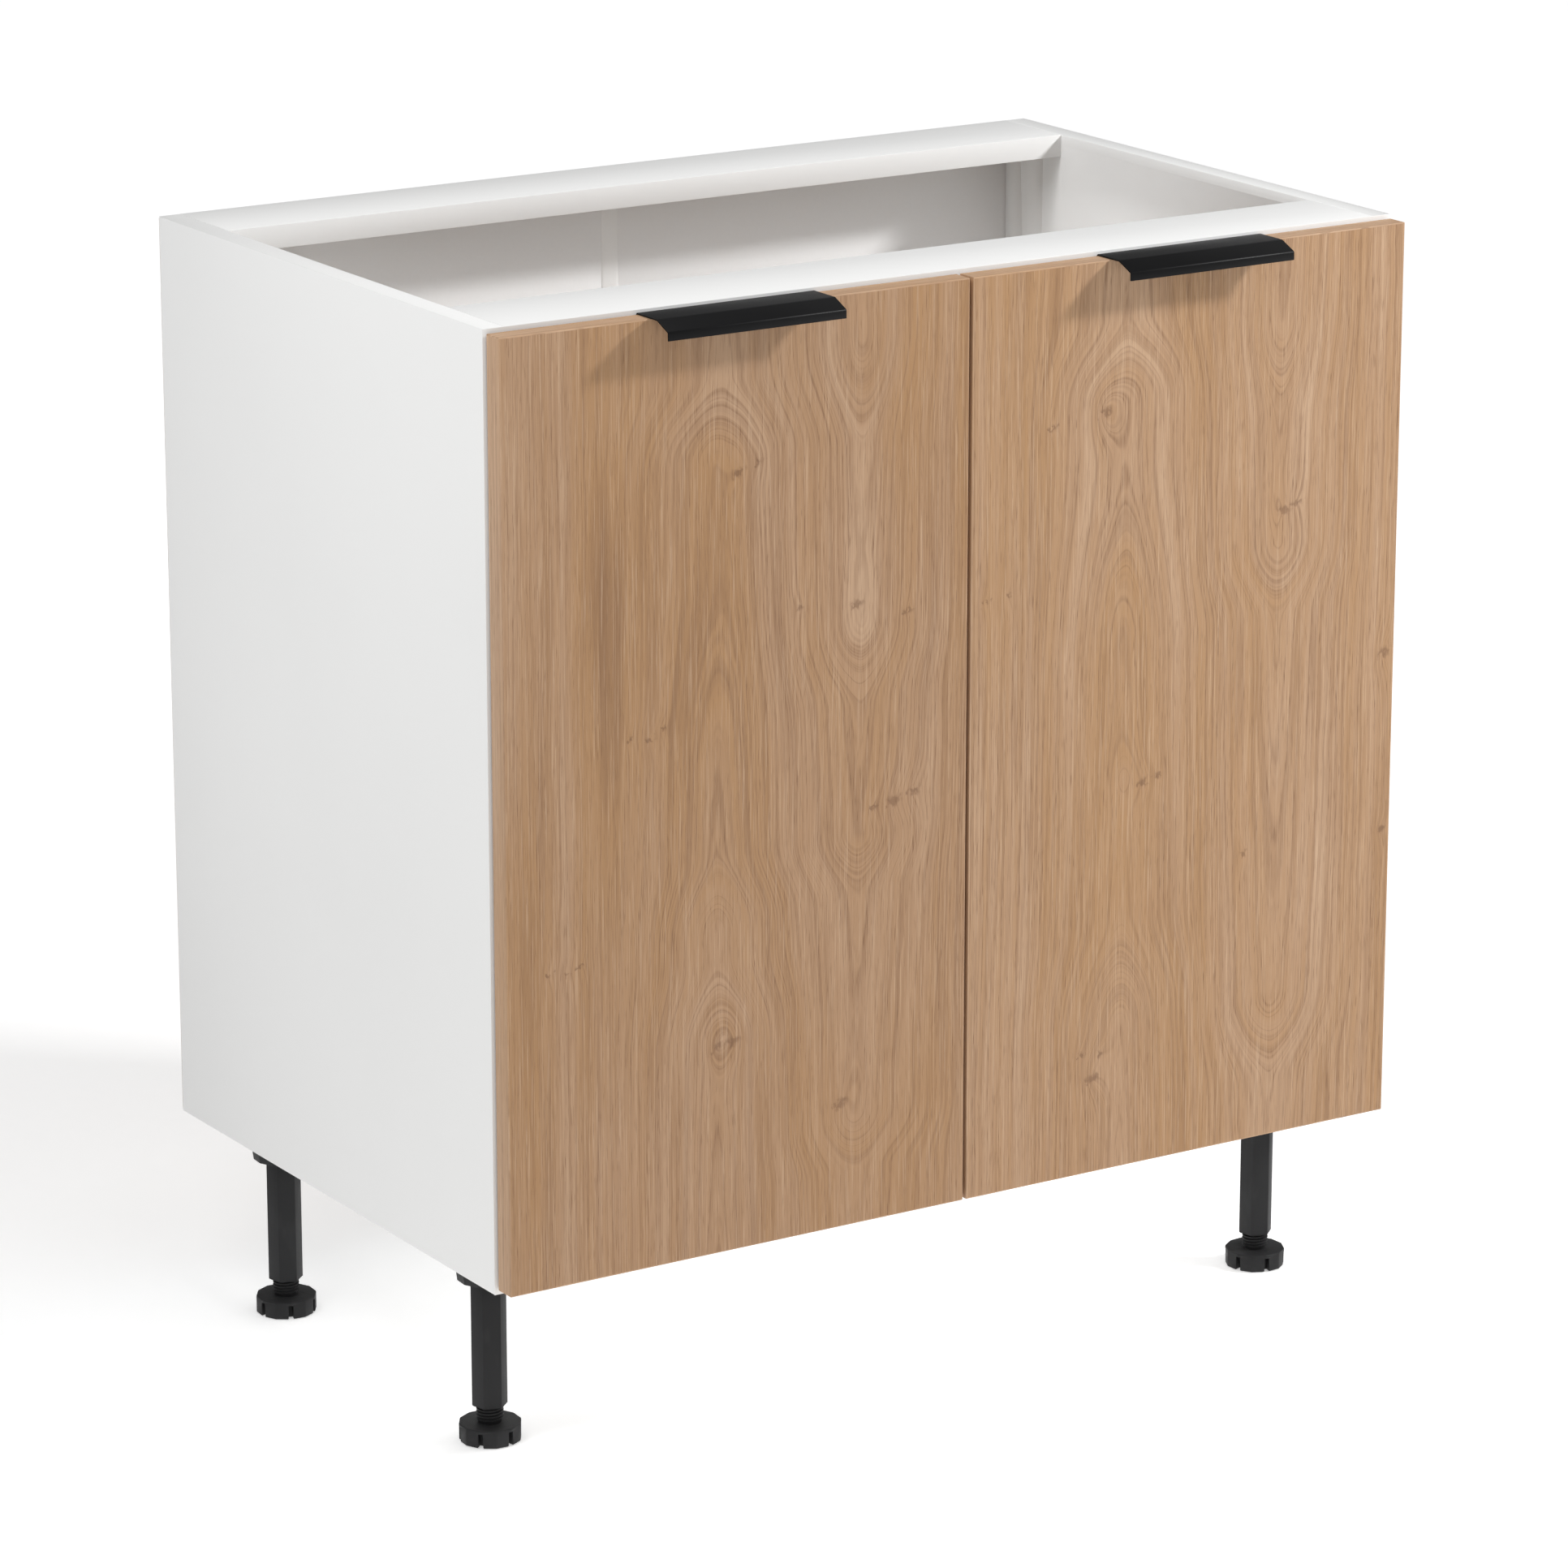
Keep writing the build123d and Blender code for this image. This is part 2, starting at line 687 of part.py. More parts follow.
def hinge_plate(level):
    # A winged plate on the side panel, with a rail that the arm straddles
    face = Plane(origin=(-inner_x, front_y, level), x_dir=(0, 1, 0), z_dir=(1, 0, 0))
    with BuildPart() as plate:
        with BuildSketch(face):
            with Locations(((plate_start + arm_length) / 2, 0)):
                Rectangle(arm_length - plate_start, 2 * plate_half)
            with Locations((plate_screw_at, 0)):
                SlotOverall(plate_wing_length, plate_wing_width, rotation=90)
        extrude(amount=plate_thickness)
        with BuildSketch(face.offset(plate_thickness)):
            with Locations(((plate_rail_start + arm_length) / 2, 0)):
                Rectangle(arm_length - plate_rail_start, 2 * (arm_inside - rail_play))
        extrude(amount=arm_height - arm_wall)
        screws = [(front_y + at, level) for at in (clamp_screw_at, adjust_screw_at)]
        rail_top = cup_x + arm_top - arm_wall
        rod_x(screws, clamp_screw_radius + hole_play, rail_top, -clamp_screw_length, Mode.SUBTRACT)
        wings = [(front_y + plate_screw_at, level + up * plate_screw_spacing / 2) for up in (-1, 1)]
        rod_x(wings, plate_screw_radius + hole_play, -inner_x, plate_thickness, Mode.SUBTRACT)
    return plate


for height, level in hinge_levels.items():
    for name, shaped in (("hinge_cup", hinge_cup), ("hinge_arm", hinge_arm), ("hinge_plate", hinge_plate)):
        piece = shaped(level)
        write(piece, f"{name}_left_{height}")
        write(mirrored(piece), f"{name}_right_{height}")

with BuildPart() as outer_links_left:
    for level in hinge_levels.values():
        add(outer_link(level).part)
write(outer_links_left, "outer_links_left")
write(mirrored(outer_links_left), "outer_links_right")

with BuildPart() as inner_links_left:
    for level in hinge_levels.values():
        add(inner_link(level).part)
write(inner_links_left, "inner_links_left")
write(mirrored(inner_links_left), "inner_links_right")

with BuildPart() as arm_pins_left:
    for level in hinge_levels.values():
        pin_at(arm_pivot_outer, level, cheek_outside, pin_radius)
        pin_at(arm_pivot_inner, level, arm_half, pin_radius)
write(both_sides(arm_pins_left), "hinge_arm_pins")

with BuildPart() as cup_pins_left:
    for level in hinge_levels.values():
        for pivot in (cup_pivot_outer, cup_pivot_inner):
            pin_at(pivot, level, cup_slot_half + pin_in_cup, pin_radius)
write(cup_pins_left, "cup_pins_left")
write(mirrored(cup_pins_left), "cup_pins_right")

with BuildPart() as cup_screws_left:
    rod_y(cup_screw_points, cup_screw_radius, door_back_y + cup_flange, -cup_flange - cup_screw_length)
    rod_y(cup_screw_points, cup_screw_head_radius, door_back_y + cup_flange, cup_screw_head)
write(cup_screws_left, "cup_screws_left")
write(mirrored(cup_screws_left), "cup_screws_right")

with BuildPart() as plate_screws_left:
    seat = -inner_x + plate_thickness
    rod_x(plate_screw_points, plate_screw_radius, seat, -plate_thickness - plate_screw_length)
    rod_x(plate_screw_points, plate_screw_head_radius, seat, plate_screw_head)
write(both_sides(plate_screws_left), "hinge_plate_screws")

clamp_points = [
    (front_y + at, level) for level in hinge_levels.values() for at in (clamp_screw_at, adjust_screw_at)
]
with BuildPart() as clamp_screws_left:
    rod_x(clamp_points, clamp_screw_radius, cup_x + arm_top, -arm_wall - clamp_screw_length)
    rod_x(clamp_points, clamp_screw_head_radius, cup_x + arm_top, clamp_screw_head)
write(both_sides(clamp_screws_left), "hinge_arm_screws")

# Legs: flanged sockets under the bottom, hexagonal columns and levelling feet
with BuildPart() as sockets:
    for x, y in leg_places.values():
        for height, radius in ((socket_z, socket_radius), (flange_z, socket_radius + socket_draft)):
            with BuildSketch(Plane.XY.offset(height)):
                with Locations((x, y)):
                    RegularPolygon(radius, socket_sides, rotation=column_turn)
        loft()
    screw_room = socket_screw_head_radius + socket_screw_room
    rod_z(socket_screw_points, screw_room, flange_z, socket_z - flange_z, Mode.SUBTRACT)
    rod_z(leg_places.values(), socket_flange_radius, flange_z, socket_flange)
    rod_z(leg_places.values(), spigot_radius + hole_play, socket_z, spigot_height, Mode.SUBTRACT)
    rod_z(socket_screw_points, socket_screw_radius + hole_play, flange_z, socket_flange, Mode.SUBTRACT)
write(sockets, "leg_sockets")

with BuildPart() as socket_screws:
    rod_z(socket_screw_points, socket_screw_radius, flange_z, socket_screw_length)
    rod_z(socket_screw_points, socket_screw_head_radius, flange_z, -socket_screw_head)
write(socket_screws, "leg_socket_screws")

for name, (x, y) in leg_places.items():
    with BuildPart() as column:
        with BuildSketch(Plane.XY.offset(column_end)):
            with Locations((x, y)):
                RegularPolygon(column_flats / 2, column_sides, major_radius=False, rotation=column_turn)
        extrude(amount=socket_z - column_end)
        chamfer(column.faces().sort_by(Axis.Z)[0].edges(), column_chamfer)
        rod_z([(x, y)], spigot_radius, socket_z, spigot_height)
        bore = foot_height + stem_engaged + stem_bore_spare
        rod_z([(x, y)], stem_radius + stem_play, column_end, bore, Mode.SUBTRACT)
    write(column, f"leg_column_{name}")

    with BuildPart() as foot:
        with BuildSketch():
            with Locations((x, y)):
                RegularPolygon(foot_radius, foot_sides, rotation=foot_turns[name])
        extrude(amount=foot_height)
        with Locations((x, y, (foot_height - foot_slot_top) / 2)):
            with PolarLocations(foot_radius, foot_slots, start_angle=foot_turns[name]):
                Box(2 * foot_slot_depth, foot_slot, foot_height - foot_slot_top, mode=Mode.SUBTRACT)
        rod_z([(x, y)], stem_radius, foot_height, column_end - foot_height + stem_engaged)
    write(foot, f"levelling_foot_{name}")
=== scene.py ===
import json
import math

import bmesh
import bpy
from mathutils import Matrix, Vector


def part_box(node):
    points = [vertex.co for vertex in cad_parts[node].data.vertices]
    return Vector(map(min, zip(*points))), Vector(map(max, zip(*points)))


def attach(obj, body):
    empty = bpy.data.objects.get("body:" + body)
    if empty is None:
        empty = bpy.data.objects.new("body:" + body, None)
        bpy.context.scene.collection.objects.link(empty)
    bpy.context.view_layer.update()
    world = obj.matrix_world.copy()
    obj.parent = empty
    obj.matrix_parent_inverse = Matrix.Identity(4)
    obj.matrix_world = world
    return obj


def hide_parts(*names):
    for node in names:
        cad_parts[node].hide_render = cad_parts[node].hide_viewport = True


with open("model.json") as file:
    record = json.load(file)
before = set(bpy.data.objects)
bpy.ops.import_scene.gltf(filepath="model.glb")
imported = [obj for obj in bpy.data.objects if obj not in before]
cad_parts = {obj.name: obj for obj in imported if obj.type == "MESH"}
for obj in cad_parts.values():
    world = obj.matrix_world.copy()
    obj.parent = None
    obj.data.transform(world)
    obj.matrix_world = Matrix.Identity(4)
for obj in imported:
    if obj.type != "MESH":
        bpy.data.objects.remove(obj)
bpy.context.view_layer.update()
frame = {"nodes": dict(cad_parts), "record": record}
nodes = frame["nodes"]
record = frame["record"]
slotOf = {row["node"]: row["material_slot"] for row in record["subparts"]}
bodyOf = {node: body for body, members in record["behaviour"]["bodies"].items() for node in members}
print("frame loaded:", len(nodes), "nodes")


# shader maths

noiseMean = 0.5


class Flow:
    # one socket of a node tree, with operators that add Math nodes
    def __init__(self, tree, socket):
        self.tree, self.socket = tree, socket

    def make(self, kind, settings=None, inputs=None, out=0):
        made = self.tree.nodes.new(kind)
        for key, value in (settings or {}).items():
            if key == "stops":
                fillRamp(made.color_ramp, value)
            else:
                setattr(made, key, value)
        for key, value in (inputs or {}).items():
            if isinstance(value, Flow):
                self.tree.links.new(value.socket, made.inputs[key])
            else:
                made.inputs[key].default_value = value
        return Flow(self.tree, made.outputs[out])

    def math(self, operation, a, b=0.0):
        return self.make("ShaderNodeMath", {"operation": operation}, {0: a, 1: b})

    def __add__(self, other):
        return self.math("ADD", self, other)

    def __radd__(self, other):
        return self.math("ADD", other, self)

    def __sub__(self, other):
        return self.math("SUBTRACT", self, other)

    def __rsub__(self, other):
        return self.math("SUBTRACT", other, self)

    def __mul__(self, other):
        return self.math("MULTIPLY", self, other)

    def span(self, low, high, outLow=0.0, outHigh=1.0):
        # smooth step from low to high
        return self.make(
            "ShaderNodeMapRange",
            {"interpolation_type": "SMOOTHSTEP"},
            {"Value": self, "From Min": low, "From Max": high, "To Min": outLow, "To Max": outHigh},
        )

    def mix(self, factor, a, b):
        # colours a and b by factor; 6, 7 and 2 are the node's colour sockets
        return self.make("ShaderNodeMix", {"data_type": "RGBA"}, {0: factor, 6: a, 7: b}, out=2)

    def vector(self, x, y, z):
        return self.make("ShaderNodeCombineXYZ", None, {0: x, 1: y, 2: z})

    def axes(self):
        # x, y and z of a vector
        split = self.tree.nodes.new("ShaderNodeSeparateXYZ")
        self.tree.links.new(self.socket, split.inputs[0])
        return [Flow(self.tree, output) for output in split.outputs]

    def noise(self, vector, scale=1.0, detail=2.0, rough=0.5):
        return self.make(
            "ShaderNodeTexNoise",
            {"noise_dimensions": "3D"},
            {"Vector": vector, "Scale": scale, "Detail": detail, "Roughness": rough},
        )

    def bump(self, height, strength, distance):
        return self.make("ShaderNodeBump", None, {"Height": height, "Strength": strength, "Distance": distance})


def fillRamp(ramp, stops):
    while len(ramp.elements) > 1:
        ramp.elements.remove(ramp.elements[-1])
    ramp.elements[0].position, ramp.elements[0].color = stops[0]
    for place, color in stops[1:]:
        ramp.elements.new(place).color = color


def tint(red, green, blue):
    # a screen colour, 0 to 255, as a linear one
    def linear(c):
        c = c / 255
        return c / 12.92 if c <= 0.04045 else ((c + 0.055) / 1.055) ** 2.4
    return (linear(red), linear(green), linear(blue), 1.0)


def newMaterial(name, fixed):
    # a Principled material with its fixed socket values, and its object coordinates
    material = bpy.data.materials.new(name)
    material.use_nodes = True
    tree = material.node_tree
    shader = tree.nodes["Principled BSDF"]
    for key, value in fixed.items():
        shader.inputs[key].default_value = value
    place = Flow(tree, None).make("ShaderNodeTexCoord", out="Object")
    return material, shader, place


def feed(shader, **inputs):
    for key, value in inputs.items():
        value.tree.links.new(value.socket, shader.inputs[key.replace("_", " ")])


# oak of the doors: growth lines are the contours of a field that is folded across the door and drifts down it,
# so that they close into standing arches along its crest and hanging ones along its dip

oakLook = {
    "wander": 0.016,                    # how far the fibres stray sideways, in metres
    "wanderScale": (2.6, 2.0, 1.1),     # in steps per metre
    "fold": 0.016,                      # rounding of the field where it turns over
    "drift": 0.030,                     # how far the field moves for each metre down the crest and the dip
    "archReach": 0.11,                  # how far from the crest or the dip it moves
    "wobble": 0.0050,
    "tremor": 0.0014,
    "bandEdge": 0.00105,                # how far in from the door's ends their bands reach
    "broad": (26.0, 1.1),               # tone bands per metre across and along the grain
    "dark": (131, 96, 67),
    "honey": (176, 136, 95),
    "middle": (181, 145, 112),
    "pale": (213, 182, 152),
    "ringColour": (126, 90, 62),
    "poreColour": (120, 86, 59),
    "knotColour": (106, 72, 48),
    "lifted": (214, 180, 150),
    "specular": 0.35,
    "roughness": (0.46, 0.10, 0.12),    # base, and what fibres and pores add
    "relief": (0.5, 0.8, 0.35, 0.00012),    # fibres up, pores down, bump strength and distance
}

# noise of the oak: steps per metre across and along the grain, shift of the seed, detail, roughness
oakLayers = {
    "wobble": (22.0, 9.0, 0.0, 2.0, 0.5),
    "tremor": (75.0, 24.0, 0.0, 1.0, 0.5),
    "grit": (260.0, 190.0, 0.0, 2.0, 0.5),
    "band": (105.0, 0.7, 1.0, 2.0, 0.5),
    "ring": (300.0, 0.9, 0.0, 1.0, 0.4),
    "fibre": (430.0, 5.0, 3.0, 2.0, 0.6),
    "hair": (1250.0, 17.0, 7.0, 1.0, 0.5),
    "pore": (1900.0, 62.5, 5.0, 1.0, 0.5),
    "patch": (7.0, 2.4, 2.0, 2.0, 0.5),
}

# how much of each layer shows, and the noise values between which it comes in
oakTones = {
    "stops": [(0.26, "dark"), (0.40, "honey"), (0.54, "middle"), (0.74, "pale")],
    "broadShare": 0.38, "bandShare": 0.27, "patchShare": 0.35,
    "ring": 0.32, "ringWidth": 0.055, "ringPatch": (0.2, 0.6),
    "fibre": 0.36, "fibreSpan": (0.56, 0.30),
    "hair": 0.42, "hairSpan": (0.52, 0.74),
    "pore": 0.38, "poreRing": 0.4, "poreSpan": (0.43, 0.28),
    "knot": 0.52, "knotSpan": (0.08, 0.62), "knotBase": 0.35, "knotGrit": 1.1,
}

# where each door's field turns over, its painted shade against the other (the left door darkened and the right one
# lifted a little, as light from the right would shade them), the paler tone of its edge bands and the seed of its
# grain;
# stretches with many standing or hanging arches: from and to below the door's top, and the drift between;
# eyes: across, down, half width, half length, push
oakDoors = {
    "left": {
        "crest": 0.180, "dip": 0.303, "tone": -0.12, "edgeTone": 0.22, "seed": 1.7,
        "standing": [
            (0.050, 0.110, 0.022), (0.200, 0.330, 0.008), (0.405, 0.465, 0.016), (0.485, 0.550, 0.022),
        ],
        "hanging": [
            (0.030, 0.115, 0.022), (0.245, 0.310, 0.020), (0.405, 0.455, 0.014), (0.625, 0.672, 0.016),
        ],
        "eyes": [
            (0.300, 0.232, 0.030, 0.050, -0.010), (0.186, 0.545, 0.026, 0.040, 0.009),
            (0.292, 0.612, 0.028, 0.040, -0.009),
        ],
    },
    "right": {
        "crest": 0.138, "dip": 0.281, "tone": 0.02, "edgeTone": 0.28, "seed": 4.3,
        "standing": [(0.045, 0.110, 0.022), (0.165, 0.300, 0.016), (0.510, 0.600, 0.030)],
        "hanging": [(0.060, 0.140, 0.014), (0.235, 0.295, 0.022), (0.595, 0.668, 0.020)],
        "eyes": [
            (0.121, 0.116, 0.032, 0.044, 0.010), (0.140, 0.402, 0.024, 0.040, 0.008),
            (0.114, 0.632, 0.034, 0.050, 0.010), (0.284, 0.209, 0.028, 0.040, -0.009),
        ],
    },
}

# small brown knots: across from the door's left edge, down from its top, radius
oakKnots = {
    "left": [
        (0.197, 0.121, 0.007), (0.214, 0.114, 0.006), (0.300, 0.232, 0.008), (0.345, 0.243, 0.006),
        (0.250, 0.228, 0.005), (0.107, 0.306, 0.004), (0.123, 0.309, 0.006), (0.134, 0.302, 0.004),
        (0.334, 0.387, 0.010), (0.352, 0.382, 0.009), (0.316, 0.389, 0.006), (0.193, 0.550, 0.009),
        (0.179, 0.552, 0.006), (0.037, 0.472, 0.005), (0.051, 0.475, 0.005), (0.064, 0.470, 0.004),
        (0.289, 0.615, 0.009),
    ],
    "right": [
        (0.119, 0.115, 0.009), (0.071, 0.121, 0.005), (0.286, 0.211, 0.010), (0.299, 0.206, 0.006),
        (0.011, 0.247, 0.005), (0.032, 0.244, 0.005), (0.158, 0.408, 0.008), (0.172, 0.404, 0.006),
        (0.385, 0.337, 0.010), (0.252, 0.480, 0.006), (0.386, 0.480, 0.006), (0.114, 0.637, 0.009),
        (0.104, 0.616, 0.006), (0.120, 0.618, 0.006),
    ],
}

# a knot against its radius: its width, the size of the swirl about it and how far that pushes the field;
# ragged: how far its outline is frayed across and along, in metres
knotShape = {"width": 1.3, "swirlWidth": 2.6, "swirlLength": 4.5, "push": 0.9, "ragged": (0.020, 0.012)}


def oakMaterial(name, side, edge=False):
    look, tones, door = oakLook, oakTones, oakDoors[side]
    low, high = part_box("door_edge_bands_" + side)
    seed = door["seed"]
    material, shader, place = newMaterial(name, {"Specular IOR Level": look["specular"]})
    x, y, z = place.axes()

    def layer(kind, across, along):
        perAcross, perAlong, shift, detail, rough = oakLayers[kind]
        spot = place.vector(across * perAcross, seed + shift, along * perAlong)
        return place.noise(spot, detail=detail, rough=rough)

    def blob(spot, centreX, centreZ, halfWidth, halfLength):
        # one in the middle, falling to nothing at the half width and half length
        local = place.make(
            "ShaderNodeMapping", {"vector_type": "TEXTURE"},
            {"Vector": spot, "Location": (centreX, 0, centreZ), "Scale": (halfWidth, 1, halfLength)},
        )
        return place.make("ShaderNodeTexGradient", {"gradient_type": "QUADRATIC_SPHERE"}, {"Vector": local}, out=1)

    def turn(line, at):
        # twice the part of line past at, with a rounded corner
        past = line - at
        return past + place.math("SQRT", past * past + look["fold"] ** 2)

    perX, perY, perZ = look["wanderScale"]
    slow = place.noise(place.vector(x * perX + seed, y * perY, z * perZ))
    across = x + (slow - noiseMean) * look["wander"]
    along = z
    knots = None
    if edge:
        # the bands of the top and bottom edges have their grain along the door
        ends = place.math("COMPARE", z, (low.z + high.z) / 2)
        ends.socket.node.inputs[2].default_value = (high.z - low.z) / 2 - look["bandEdge"]
        ends = 1 - ends
        across = (x + y) * (1 - ends) + y * ends
        along = z + (x - z) * ends
        field = across
    else:
        spot = place.vector(across, 0.0, z)
        crest, dip = low.x + door["crest"], low.x + door["dip"]
        field = across - turn(across, crest) + turn(across, dip)
        down = high.z - z
        for arches, middle in ((door["standing"], crest), (door["hanging"], dip)):
            drift = (down - (high.z - low.z) / 2) * look["drift"]
            for start, end, rise in arches:
                drift = drift + down.span(start, end, -rise / 2, rise / 2)
            field = field + drift * place.math("ABSOLUTE", across - middle).span(look["archReach"], 0.0)
        for dx, below, halfWidth, halfLength, push in door["eyes"]:
            field = field + blob(spot, low.x + dx, high.z - below, halfWidth, halfLength) * push
        field = field + (layer("wobble", x, z) - noiseMean) * look["wobble"]
        field = field + (layer("tremor", x, z) - noiseMean) * look["tremor"]
        grit = layer("grit", x, z)
        frayX, frayZ = knotShape["ragged"]
        ragged = place.vector(across + (grit - noiseMean) * frayX, 0.0, z + (grit - noiseMean) * frayZ)
        for dx, below, radius in oakKnots[side]:
            knotX, knotZ = low.x + dx, high.z - below
            core = blob(ragged, knotX, knotZ, radius * knotShape["width"], radius)
            swirl = blob(spot, knotX, knotZ, radius * knotShape["swirlWidth"], radius * knotShape["swirlLength"])
            knots = core if knots is None else knots + core
            field = field + swirl * (radius * knotShape["push"])

    perAcross, perAlong = look["broad"]
    broad = place.noise(place.vector(field * perAcross + seed, 0.0, along * perAlong))
    band = layer("band", field, along)
    ring = layer("ring", field, along)
    fibre = layer("fibre", field, along)
    hair = layer("hair", across, along)
    pore = layer("pore", across, along)
    patch = layer("patch", x, z)

    shade = broad * tones["broadShare"] + band * tones["bandShare"] + patch * tones["patchShare"]
    stops = [(at, tint(*look[color])) for at, color in tones["stops"]]
    body = place.make("ShaderNodeValToRGB", {"stops": stops}, {0: shade})
    rings = place.math("ABSOLUTE", ring - noiseMean).span(tones["ringWidth"], 0.0) * patch.span(*tones["ringPatch"])
    body = place.mix(rings * tones["ring"], body, tint(*look["ringColour"]))
    body = place.mix(fibre.span(*tones["fibreSpan"]) * tones["fibre"], body, tint(*look["dark"]))
    body = place.mix(hair.span(*tones["hairSpan"]) * tones["hair"], body, tint(*look["pale"]))
    pores = pore.span(*tones["poreSpan"])
    body = place.mix(pores * (tones["pore"] + rings * tones["poreRing"]), body, tint(*look["poreColour"]))
    if knots is not None:
        dark = (knots * (tones["knotBase"] + grit * tones["knotGrit"])).span(*tones["knotSpan"])
        body = place.mix(dark * tones["knot"], body, tint(*look["knotColour"]))
    # painted shade and light: the left door's face is darkened and the right one's lifted a little, as light from
    # the right would fall on them; the edge bands get their own paler tone
    tone = door["edgeTone" if edge else "tone"]
    body = place.mix(abs(tone), body, tint(*look["lifted" if tone > 0 else "dark"]))
    base, fibreRough, poreRough = look["roughness"]
    fibreUp, poreDown, strength, distance = look["relief"]
    feed(
        shader,
        Base_Color=body,
        Roughness=base + fibre * fibreRough + pores * poreRough,
        Normal=place.bump(fibre * fibreUp - pores * poreDown, strength, distance),
    )
    return material


# white boards, plastics and metals; specular is the Principled level, relief the bump's strength and distance

melamineLook = {
    "specular": 0.4, "cloud": 3.0, "cloudDetail": 3.0, "grainRough": 0.6, "shade": 0.965,
    "cloudSpan": (0.35, 0.7), "cloudTone": 0.5, "grainTone": 0.3, "grainDull": 0.10, "cloudDull": 0.05,
    "relief": (0.10, 0.00008),
}


def melamineMaterial(name, color, roughness, pebble):
    # a pressed paper face: faint pebble grain, a little unevenness in tone and gloss
    look = melamineLook
    material, shader, place = newMaterial(name, {"Specular IOR Level": look["specular"]})
    cloud = place.noise(place, look["cloud"], look["cloudDetail"])
    grain = place.noise(place, pebble, 2.0, look["grainRough"])
    shade = tuple(c * look["shade"] for c in tint(*color)[:3]) + (1.0,)
    uneven = cloud.span(*look["cloudSpan"]) * look["cloudTone"] + grain * look["grainTone"]
    feed(
        shader,
        Base_Color=place.mix(uneven, tint(*color), shade),
        Roughness=roughness + grain * look["grainDull"] + cloud * look["cloudDull"],
        Normal=place.bump(grain, *look["relief"]),
    )
    return material


plasticLook = {
    "specular": 0.25, "grain": 1300.0, "grainDetail": 3.0, "grainRough": 0.65,
    "scuff": (60.0, 60.0, 22.0), "scuffDetail": 3.0, "scuffSpan": (0.52, 0.75), "scuffTone": 0.45,
    "grainTone": 0.25, "roughness": 0.45, "grainDull": 0.22, "relief": (0.32, 0.00018),
}


def plasticMaterial(name, color, worn):
    # moulded plastic with a spark-eroded grain, paler where it is scuffed
    look = plasticLook
    material, shader, place = newMaterial(name, {"Specular IOR Level": look["specular"]})
    grain = place.noise(place, look["grain"], look["grainDetail"], look["grainRough"])
    spot = place.vector(*(axis * scale for axis, scale in zip(place.axes(), look["scuff"])))
    scuff = place.noise(spot, detail=look["scuffDetail"])
    paler = scuff.span(*look["scuffSpan"]) * look["scuffTone"] + grain * look["grainTone"]
    feed(
        shader,
        Base_Color=place.mix(paler, tint(*color), tint(*worn)),
        Roughness=look["roughness"] + grain * look["grainDull"],
        Normal=place.bump(grain, *look["relief"]),
    )
    return material


coatLook = {
    "specular": 0.13, "peel": 1500.0, "cloud": 25.0, "cloudSpan": (0.4, 0.7), "peelTone": 0.4, "cloudTone": 0.3,
    "roughness": 0.34, "peelDull": 0.12, "cloudDull": 0.06, "relief": (0.12, 0.00006),
}


def coatedMaterial(name, color, worn):
    # powder coat: a fine orange peel under a satin gloss
    look = coatLook
    material, shader, place = newMaterial(name, {"Specular IOR Level": look["specular"]})
    peel = place.noise(place, look["peel"])
    cloud = place.noise(place, look["cloud"])
    uneven = peel * look["peelTone"] + cloud.span(*look["cloudSpan"]) * look["cloudTone"]
    feed(
        shader,
        Base_Color=place.mix(uneven, tint(*color), tint(*worn)),
        Roughness=look["roughness"] + peel * look["peelDull"] + cloud * look["cloudDull"],
        Normal=place.bump(peel, *look["relief"]),
    )
    return material


metalLook = {
    "stretch": 0.12, "patch": 70.0, "patchDetail": 3.0, "patchSpan": (0.4, 0.7), "patchTone": 0.6,
    "lineDull": 0.14, "patchDull": 0.10, "relief": (0.06, 0.00005),
}


def metalMaterial(name, color, dull, roughness, drawn):
    # plated metal: fine drawn lines and slightly dull patches
    look = metalLook
    material, shader, place = newMaterial(name, {"Metallic": 1.0})
    x, y, z = place.axes()
    lines = place.noise(place.vector(x * drawn, y * (drawn * look["stretch"]), z * drawn))
    patch = place.noise(place, look["patch"], look["patchDetail"])
    feed(
        shader,
        Base_Color=place.mix(patch.span(*look["patchSpan"]) * look["patchTone"], tint(*color), tint(*dull)),
        Roughness=roughness + lines * look["lineDull"] + patch * look["patchDull"],
        Normal=place.bump(lines, *look["relief"]),
    )
    return material


hardboardLook = {
    "specular": 0.3, "fibre": (380.0, 380.0, 300.0), "fibreDetail": 4.0, "fibreRough": 0.7, "mesh": 1400.0,
    "faceTone": 0.35, "faceDrop": (12, 13, 14), "bareSpan": (0.3, 0.7), "bareRise": (34, 30, 24),
    "skin": (0.0014, 0.0012),       # the bare face begins between these, in from the back
    "roughness": 0.42, "bareDull": 0.36, "fibreDull": 0.08, "meshRelief": 0.5, "relief": (0.12, 0.0001),
}


def hardboardMaterial(name, color, rear):
    # lacquered on the face that shows inside, bare brown fibre behind
    look = hardboardLook
    material, shader, place = newMaterial(name, {"Specular IOR Level": look["specular"]})
    x, y, z = place.axes()
    spot = place.vector(*(axis * scale for axis, scale in zip((x, y, z), look["fibre"])))
    fibre = place.noise(spot, detail=look["fibreDetail"], rough=look["fibreRough"])
    mesh = place.noise(place, look["mesh"], 1.0)
    dimmer = tint(*(c - drop for c, drop in zip(color, look["faceDrop"])))
    paler = tint(*(c + rise for c, rise in zip(rear, look["bareRise"])))
    face = place.mix(fibre * look["faceTone"], tint(*color), dimmer)
    bare = place.mix(fibre.span(*look["bareSpan"]), tint(*rear), paler)
    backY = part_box("back_panel_left")[1].y
    behind = y.span(*(backY - depth for depth in look["skin"]))
    feed(
        shader,
        Base_Color=place.mix(behind, face, bare),
        Roughness=look["roughness"] + behind * look["bareDull"] + fibre * look["fibreDull"],
        Normal=place.bump(fibre + mesh * look["meshRelief"], *look["relief"]),
    )
    return material


